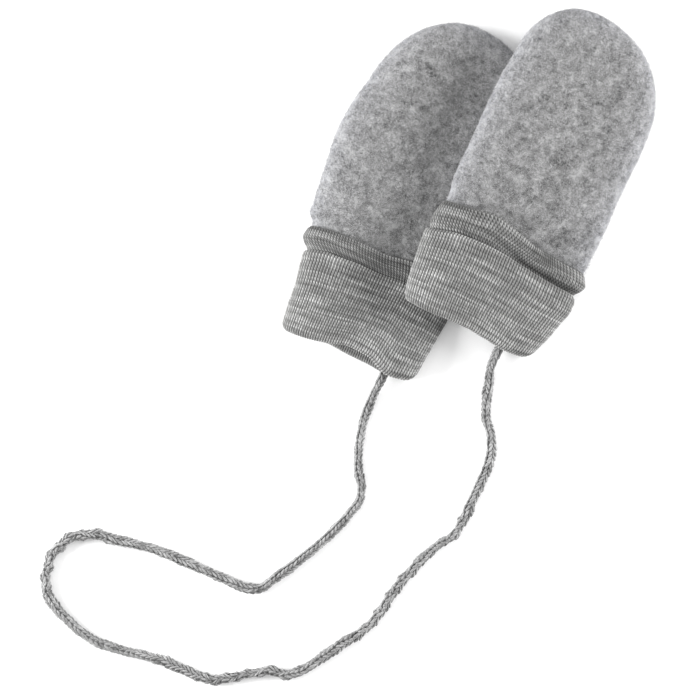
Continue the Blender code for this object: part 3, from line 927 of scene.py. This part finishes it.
def trough(fold, along, across):
    """1 along the crease's line, falling off as a bell beside it and past its ends."""
    start = np.array([fold.start_across, fold.start_distance])
    way = np.array([fold.end_across, fold.end_distance]) - start
    length = np.hypot(*way)
    way = way / length
    run = (across - start[0]) * way[0] + (along - start[1]) * way[1]
    beside = (across - start[0]) * way[1] - (along - start[1]) * way[0]
    past = np.clip(np.maximum(-run, run - length), 0, None)
    to_end = np.minimum(run, length - run) / (CREASE_FADE_SHARE * length)
    fade = eased(to_end + CREASE_START_SHARE)
    return np.exp(-(beside / fold.width)**2 - (past / fold.width)**2) * fade


def jersey_cuff(mitten, material):
    """The cuff as one closed wall: the profile's rows by the wales round the wrist,
    with a rounded ridge for each wale. The columns are evenly spaced round the middle
    of the turn-up."""
    profile, walked, slack = cuff_profile()
    fine = np.linspace(0, 2, TURN_STEPS)
    middle_row = tuple(np.array([[value]]) for value in (TURN_UP_LINE / 2, 0.0, 0.0, 0.0))
    ring = cuff_surface(mitten, middle_row, fine)[0]
    step = np.linalg.norm(np.diff(ring, axis=0), axis=1)
    even = np.linspace(0, step.sum(), WALES_ROUND * COLUMNS_PER_WALE + 1)
    turn = np.interp(even, np.concatenate([[0], np.cumsum(step)]), fine)[:-1]
    grid = cuff_surface(mitten, profile, turn)
    closed = np.concatenate([grid[-1:], grid, grid[:1]], axis=0)
    closed = np.concatenate([closed[:, -1:], closed, closed[:, :1]], axis=1)
    normals = grid_normals(closed)[1:-1, 1:-1]
    normals = normals * outward_sign(grid, normals)
    wale = np.arange(len(turn)) / COLUMNS_PER_WALE
    ridge = (1 - BAND_CALM * slack)[:, None] * 0.5 * np.cos(2 * pi * wale)[None, :]
    _, upper = round_share(turn)
    off_floor = eased((grid[..., 2] - CUFF_RELIEF_START) / RELIEF_FADE)
    strength = np.where(upper[None, :], 1.0, off_floor)
    height = WALE_DEPTH * ridge + relief(grid, CUFF_WAVES)
    grid = grid + normals * (strength * height)[..., None]
    rows = grid.shape[0]
    columns = grid.shape[1]
    index = np.arange(rows * columns).reshape(rows, columns)
    index = np.concatenate([index, index[:1]], axis=0)
    index = np.concatenate([index, index[:, :1]], axis=1)
    faces = grid_quads(index)
    made = add_object(f"{mitten.name}_mitten_cuff", grid.reshape(-1, 3), faces.tolist(), material)
    # 1 on the slack band: its ridges are calmer there, and its material paints shade over it
    layer = made.data.attributes.new("slack", "FLOAT", "POINT")
    layer.data.foreach_set("value", np.repeat(slack, columns))
    face_outwards(made)
    unroll_cuff(made, columns, walked)
    return made


def outward_sign(grid, normals):
    """1 or -1, whichever makes the normals of the outermost row point up on top."""
    top = normals[:, normals.shape[1] // 4]
    highest = grid[:, grid.shape[1] // 4, 2].argmax()
    return 1.0 if top[highest, 2] > 0 else -1.0


def unroll_cuff(made, columns, along):
    """UV map of the closed wall: across is the turn round the wrist, along is the way
    round the profile, each from 0 to 1 and cut open where the grid starts."""
    layer = made.data.uv_layers.new(name="OFBake")
    corner = np.empty(len(made.data.loops), int)
    made.data.loops.foreach_get("vertex_index", corner)
    whole = []
    for share in (corner % columns / columns, along[corner // columns]):
        face = share.reshape(-1, 4)
        over_the_cut = (face < 0.25) * (face.max(axis=1, keepdims=True) > 0.75)
        whole.append((face + over_the_cut).ravel())
    layer.data.foreach_set("uv", np.stack(whole, axis=1).ravel())


# Knitted cord

def smooth_route(route):
    """Evenly spaced points on a smooth curve through the route's points."""
    route = np.array(route)
    padded = np.vstack([2 * route[0] - route[1], route, 2 * route[-1] - route[-2]])
    t = np.linspace(0, 1, CORD_CURVE_STEPS, endpoint=False)[:, None]
    pieces = []
    for before, start, end, after in zip(padded, padded[1:], padded[2:], padded[3:]):
        bend = 2 * before - 5 * start + 4 * end - after
        swing = 3 * start - before - 3 * end + after
        pieces.append((2 * start + (end - before) * t + bend * t**2 + swing * t**3) / 2)
    fine = np.vstack(pieces + [route[-1:]])
    walked = np.concatenate([[0], np.cumsum(np.linalg.norm(np.diff(fine, axis=0), axis=1))])
    even = np.linspace(0, walked[-1], int(walked[-1] / CORD_POINT_SPACING) + 1)
    path = np.stack([np.interp(even, walked, fine[:, axis]) for axis in range(3)], axis=1)
    return path, even


def cord_frame(path, even, distance):
    """Place, left and up of the cord at each distance along it."""
    ahead = unit(np.gradient(path, axis=0))
    place = np.stack([np.interp(distance, even, path[:, k]) for k in range(3)], axis=-1)
    ahead = unit(np.stack([np.interp(distance, even, ahead[:, k]) for k in range(3)], axis=-1))
    left = unit(np.cross(np.array([0, 0, 1.0]), ahead))
    up = np.cross(ahead, left)
    return place, left, up


def yarn_loops(path, even, first):
    """Both legs of every knitted loop, as slanted spindles on the cord's round: a leg
    runs from its wale's middle out to its side and dives on the way, and two make a V.
    Where the cord is twisted hard, its radius, its turn and its middle follow waves of
    the twist's pitch. Points are numbered from the first."""
    total = even[-1]
    rows = int(total / CORD_LOOP_PITCH)
    row, wale, leg = np.meshgrid(np.arange(rows), np.arange(CORD_WALES), (-1, 1), indexing="ij")
    row = row.ravel()
    wale = wale.ravel()
    leg = leg.ravel()
    random = np.random.default_rng(21)
    count = len(row)
    uneven = random.normal(size=(4, count, 1, 1))
    middle = (row + wale / CORD_WALES + 0.5) * CORD_LOOP_PITCH
    turn = pi / 2 + 2 * pi * wale / CORD_WALES + waves(middle, TURN_WAVES)
    turn = turn[:, None, None]
    leg = leg[:, None, None]
    along = np.linspace(-1, 1, LEG_RINGS)[None, :, None]
    around = (np.arange(LEG_SIDES) * 2 * pi / LEG_SIDES)[None, None, :]
    half_length = LEG_HALF_LENGTH_SHARE * CORD_LOOP_PITCH * (1 + UNEVEN_LENGTH * uneven[0])
    distance = middle[:, None, None] + UNEVEN_PLACE * uneven[1] + along * half_length
    distance = np.clip(distance, 0.0, total)
    hard = curve_through(*np.transpose(CORD_TWISTS), distance)
    wave = 2 * pi * (distance / TWIST_PITCH + waves(distance, PITCH_WAVES))
    thick = YARN_RADIUS * np.sqrt(1 - LEG_TAPER * along**2) * (1 + UNEVEN_RADIUS * uneven[2])
    radius = CORD_DIAMETER / 2 - LEG_INSET + UNEVEN_DEPTH * uneven[3] - LEG_DIVE * along
    fullness = curve_through(*np.transpose(CORD_FULLNESS), middle)
    fullness = fullness + waves(middle, FULLNESS_WAVES)
    radius = radius * (fullness[:, None, None] + TWIST_BULGE * hard * np.sin(2 * wave))
    angle = turn + TWIST_TURN * hard * np.sin(wave) + leg * (LEG_BESIDE + LEG_SPREAD * along)
    angle = angle + thick * np.cos(around) / radius
    radius = radius + thick * np.sin(around)
    distance = distance + np.zeros_like(radius)
    place, left, up = cord_frame(path, even, distance)
    place = place + left * (TWIST_SWAY * hard * np.sin(wave + 1.0))[..., None]
    points = place + left * (radius * np.cos(angle))[..., None]
    points = points + up * (radius * np.sin(angle))[..., None]
    points[..., 2] = np.maximum(points[..., 2], LOWEST_FIBRE)
    base = first + np.arange(count * LEG_RINGS * LEG_SIDES)
    base = base.reshape(count, LEG_RINGS, LEG_SIDES)
    closed = np.concatenate([base, base[..., :1]], axis=2)
    start = closed[:, :-1]
    end = closed[:, 1:]
    quads = np.stack([start[..., :-1], end[..., :-1], end[..., 1:], start[..., 1:]], axis=-1)
    faces = quads.reshape(-1, 4).tolist() + base[:, 0].tolist() + base[:, -1, ::-1].tolist()
    return points.reshape(-1, 3), faces


def core_tube(path, even):
    """The core under the loops: a round tube along the path, closed at both ends."""
    angle = (np.arange(CORE_SIDES) * 2 * pi / CORE_SIDES)[None, :, None]
    place, left, up = cord_frame(path, even, even)
    ring = left[:, None] * np.cos(angle) + up[:, None] * np.sin(angle)
    points = place[:, None] + (CORD_DIAMETER / 2 - CORE_INSET) * ring
    index = np.arange(len(path) * CORE_SIDES).reshape(len(path), CORE_SIDES)
    closed = np.concatenate([index, index[:, :1]], axis=1)
    faces = grid_quads(closed).tolist() + [index[0].tolist(), index[-1, ::-1].tolist()]
    return points.reshape(-1, 3), faces


def knitted_cord(material):
    """The cord: a core under its wales of knitted loops, as one mesh."""
    path, even = smooth_route(CORD_ROUTE)
    core, core_faces = core_tube(path, even)
    loops, loop_faces = yarn_loops(path, even, len(core))
    points = np.concatenate([core, loops])
    made = add_object("knitted_cord_loops", points, core_faces + loop_faces, material)
    span = np.ptp(points[:, :2], axis=0).max()
    flat = (points[:, :2] - points[:, :2].min(axis=0)) / span
    lay_flat(made, flat[:, 0], flat[:, 1])
    return made, path, even


# Materials

def linear(code):
    """Linear colour of an sRGB hex value."""
    values = [int(code[i:i + 2], 16) / 255 for i in (1, 3, 5)]
    return tuple(v / 12.92 if v <= 0.04045 else ((v + 0.055) / 1.055)**2.4 for v in values) + (1.0,)


def add(tree, kind, inputs, **settings):
    """Adds a node with its settings, and sets or links its inputs."""
    node = tree.nodes.new(kind)
    for name, value in settings.items():
        setattr(node, name, value)
    for name, value in inputs.items():
        if isinstance(value, bpy.types.NodeSocket):
            tree.links.new(value, node.inputs[name])
        else:
            node.inputs[name].default_value = value
    return node


def new_material(name, roughness, sheen):
    """A material with an empty cloth shader, its tree and the shader."""
    material = bpy.data.materials.new(name)
    material.use_nodes = True
    tree = material.node_tree
    shader = tree.nodes["Principled BSDF"]
    shader.inputs["Roughness"].default_value = roughness
    shader.inputs["Specular IOR Level"].default_value = 0.25
    shader.inputs["Sheen Weight"].default_value = sheen
    shader.inputs["Sheen Roughness"].default_value = 0.5
    return material, tree, shader


def per_metre(size):
    """Noise scale for a feature of that size in millimetres."""
    return 1 / (size * MM)


def brushed_fleece():
    """Felted melange wool: grey wools mixed before spinning and raised with a brush,
    which gives pale clumps of 2 to 4 mm with darker specks in their hollows. Near the
    seams the nap is painted paler and bluish, a painted sheen."""
    material, tree, shader = new_material("brushed_melange_wool_fleece", 0.95, 0.25)
    place = add(tree, "ShaderNodeTexCoord", {}).outputs["Object"]
    clump = add(tree, "ShaderNodeAttribute", {}, attribute_name="clump")
    speckle = add(tree, "ShaderNodeTexNoise", {"Vector": place, "Scale": per_metre(1.2), "Detail": 2.0})
    both = add(
        tree, "ShaderNodeMix",
        {"Factor": 0.55, "A": clump.outputs["Fac"], "B": speckle.outputs["Fac"]},
    )
    tone = add(tree, "ShaderNodeValToRGB", {"Fac": both.outputs["Result"]})
    tone.color_ramp.elements[0].position = 0.30
    tone.color_ramp.elements[0].color = linear("#494949")
    tone.color_ramp.elements[1].position = 0.72
    tone.color_ramp.elements[1].color = linear("#acacac")
    for position, code in ((0.41, "#777777"), (0.54, "#8e8e8e")):
        tone.color_ramp.elements.new(position).color = linear(code)
    # Painted sheen: near the seams the tone is mixed towards a pale bluish grey
    rim = add(tree, "ShaderNodeAttribute", {}, attribute_name="rim")
    part = add(tree, "ShaderNodeMath", {0: rim.outputs["Fac"], 1: PAINTED_RIM_SHEEN}, operation="MULTIPLY")
    paler = add(
        tree, "ShaderNodeMix",
        {"Factor": part.outputs[0], "A": tone.outputs["Color"], "B": linear("#aeb0ba")},
        data_type="RGBA",
    )
    tree.links.new(paler.outputs["Result"], shader.inputs["Base Color"])
    felt = add(tree, "ShaderNodeTexNoise", {"Vector": place, "Scale": per_metre(0.6), "Detail": 3.0})
    bump = add(
        tree, "ShaderNodeBump",
        {"Height": felt.outputs["Fac"], "Strength": 0.6, "Distance": 0.2 * MM},
    )
    tree.links.new(bump.outputs["Normal"], shader.inputs["Normal"])
    return material


def wool_fibre(name, code):
    """Single raised wool fibres, each of one natural tone from end to end."""
    material, _, shader = new_material(name, 0.7, 0.2)
    shader.inputs["Base Color"].default_value = linear(code)
    return material


def melange_jersey():
    """Fine single jersey of melange yarn: a column of V stitches on each wale. The
    yarn's tone drifts along each course and over a few courses together, which draws
    streaks across, and differs a little from stitch to stitch. Painted shade darkens
    the stitches' legs and the hollows between wales, and darkens the whole slack band,
    where the painted shade in its hollows is lighter and its streaks are bolder."""
    material, tree, shader = new_material("melange_single_jersey", 0.9, 0.15)
    flat = add(tree, "ShaderNodeUVMap", {}, uv_map="OFBake").outputs["UV"]
    parts = add(tree, "ShaderNodeSeparateXYZ", {"Vector": flat})
    slack = add(tree, "ShaderNodeAttribute", {}, attribute_name="slack")
    yarn = add(tree, "ShaderNodeTexNoise", {"Scale": 1.0, "Detail": 1.0})
    band = add(tree, "ShaderNodeTexNoise", {"Scale": 1.0, "Detail": 2.0})
    stitch = add(tree, "ShaderNodeTexWhiteNoise", {}, noise_dimensions="2D")
    streak = add(
        tree, "ShaderNodeMix",
        {"Factor": 0.4, "A": yarn.outputs["Fac"], "B": band.outputs["Fac"]},
    )
    results = {
        "x": parts.outputs["X"],
        "y": parts.outputs["Y"],
        "slack": slack.outputs["Fac"],
        "streak": streak.outputs["Result"],
    }
    for name, operation, *inputs in KNIT_STEPS:
        sockets = {k: results.get(value, value) for k, value in enumerate(inputs)}
        results[name] = add(tree, "ShaderNodeMath", sockets, operation=operation).outputs[0]
    for noise, x, y in ((yarn, "drift", "apart"), (band, "long", "few"), (stitch, "wale", "course")):
        place = add(tree, "ShaderNodeCombineXYZ", {"X": results[x], "Y": results[y]})
        tree.links.new(place.outputs[0], noise.inputs["Vector"])
    mixed = add(
        tree, "ShaderNodeMix",
        {"Factor": 0.22, "A": results["bold"], "B": stitch.outputs["Value"]},
    )
    tone = add(tree, "ShaderNodeValToRGB", {"Fac": mixed.outputs["Result"]})
    tone.color_ramp.elements[0].position = 0.15
    tone.color_ramp.elements[0].color = linear("#6e6e6d")
    tone.color_ramp.elements[1].position = 0.85
    tone.color_ramp.elements[1].color = linear("#c8c8c7")
    tone.color_ramp.elements.new(0.52).color = linear("#959594")
    # Painted shade: the knit's tone is mixed towards near black by the shade step
    dark = add(
        tree, "ShaderNodeMix",
        {"Factor": results["shade"], "A": tone.outputs["Color"], "B": linear("#1e1e1e")},
        data_type="RGBA",
    )
    tree.links.new(dark.outputs["Result"], shader.inputs["Base Color"])
    bump = add(
        tree, "ShaderNodeBump",
        {"Height": results["leg"], "Strength": 0.5, "Distance": 0.12 * MM},
    )
    tree.links.new(bump.outputs["Normal"], shader.inputs["Normal"])
    return material


def cord_yarn():
    """Plied melange wool yarn: a soft twist of light and dark fibres, so its tone
    changes every few millimetres and fine strands run along each loop."""
    material, tree, shader = new_material("plied_melange_wool_yarn", 0.9, 0.2)
    place = add(tree, "ShaderNodeTexCoord", {}).outputs["Object"]
    long = add(tree, "ShaderNodeTexNoise", {"Vector": place, "Scale": per_metre(4.0), "Detail": 2.0})
    fine = add(tree, "ShaderNodeTexNoise", {"Vector": place, "Scale": per_metre(0.8), "Detail": 2.0})
    both = add(tree, "ShaderNodeMix", {"Factor": 0.5, "A": long.outputs["Fac"], "B": fine.outputs["Fac"]})
    tone = add(tree, "ShaderNodeValToRGB", {"Fac": both.outputs["Result"]})
    tone.color_ramp.elements[0].position = 0.34
    tone.color_ramp.elements[0].color = linear("#595959")
    tone.color_ramp.elements[1].position = 0.66
    tone.color_ramp.elements[1].color = linear("#a8a8a8")
    tree.links.new(tone.outputs["Color"], shader.inputs["Base Color"])
    bump = add(
        tree, "ShaderNodeBump",
        {"Height": fine.outputs["Fac"], "Strength": 0.6, "Distance": 0.15 * MM},
    )
    tree.links.new(bump.outputs["Normal"], shader.inputs["Normal"])
    return material


def pale_floor():
    """A matt white painted board that the pair lies on."""
    material, _, shader = new_material("matt_white_board", 0.9, 0.0)
    shader.inputs["Base Color"].default_value = linear("#fcfcfc")
    return material


# Scene

def set_camera():
    """The camera, straight above the middle of the picture."""
    data = bpy.data.cameras.new("camera")
    data.lens = LENS
    data.sensor_width = SENSOR
    camera = bpy.data.objects.new("camera", data)
    height = PICTURE_WIDTH * LENS / SENSOR + PICTURE_HEIGHT_OVER_FLOOR
    camera.location = (PICTURE_CENTRE[0] * MM, PICTURE_CENTRE[1] * MM, height * MM)
    bpy.context.scene.collection.objects.link(camera)
    bpy.context.scene.camera = camera


def set_light():
    """A low soft box on each side, and white light from all round."""
    scene = bpy.context.scene
    scene.view_settings.view_transform = "Standard"
    world = bpy.data.worlds.new("white_studio")
    world.use_nodes = True
    sky = world.node_tree.nodes["Background"]
    sky.inputs["Color"].default_value = (1.0, 1.0, 1.0, 1.0)
    sky.inputs["Strength"].default_value = WHITE_LIGHT
    scene.world = world
    for name, place, power in SOFT_BOXES:
        lamp = bpy.data.lights.new(name, "AREA")
        lamp.shape = "DISK"
        lamp.size = SOFT_BOX_WIDTH
        lamp.energy = power
        light = bpy.data.objects.new(name, lamp)
        light.location = place
        light.rotation_euler = (-Vector(place)).to_track_quat("-Z", "Y").to_euler()
        scene.collection.objects.link(light)


def set_floor(material):
    """The board under the pair."""
    half = FLOOR_HALF_WIDTH
    corners = np.array([[-half, -half, 0], [half, -half, 0], [half, half, 0], [-half, half, 0]])
    mesh = bpy.data.meshes.new("floor")
    mesh.from_pydata((corners * MM).tolist(), [], [(0, 1, 2, 3)])
    mesh.materials.append(material)
    floor = bpy.data.objects.new("floor", mesh)
    bpy.context.scene.collection.objects.link(floor)


def dress_mitten(mitten, fleece, jersey, tones):
    """All pieces of one mitten, in place of its three solids."""
    random = np.random.default_rng(len(mitten.name))
    for part in ("upper", "lower"):
        panel, outer, normals, rim = fleece_panel(mitten, part, fleece)
        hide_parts(f"{mitten.name}_mitten_{part}_fleece_panel")
        # More white fibres on the clumps, and near the seams as a painted sheen
        clump_tone_and_painted_sheen = TONE_BY_CLUMP * clumps(outer) + PAINTED_RIM_SHEEN_TONE * rim
        clear = np.where(outer[..., 2] > HARDLY_SEEN_BELOW, 1.0, HARDLY_SEEN_SHARE)
        for name, (material, sign) in tones.items():
            keep = clear * np.clip(1 + sign * clump_tone_and_painted_sheen, RAREST_TONE, None)
            roots, ways = scattered(outer, normals, FIBRES_OF_ONE_TONE[part], random, keep)
            piece = f"{mitten.name}_mitten_{part}_{name}_nap"
            fuzz = fibres(piece, roots, ways, random, material)
    cuff = jersey_cuff(mitten, jersey)
    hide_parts(f"{mitten.name}_mitten_jersey_cuff")


def main():
    """Camera, cord, mittens, floor and light."""
    set_camera()
    yarn = cord_yarn()
    cord, path, even = knitted_cord(yarn)
    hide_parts("knitted_cord")
    fleece = brushed_fleece()
    jersey = melange_jersey()
    tones = {
        "white": (wool_fibre("undyed_white_wool_fibre", "#b0b0b1"), 1.0),
        "grey": (wool_fibre("mid_grey_wool_fibre", "#8e8e8e"), 0.0),
        "charcoal": (wool_fibre("charcoal_wool_fibre", "#525252"), -1.0),
    }
    for mitten in (LEFT, RIGHT):
        dress_mitten(mitten, fleece, jersey, tones)
    set_floor(pale_floor())
    set_light()


main()
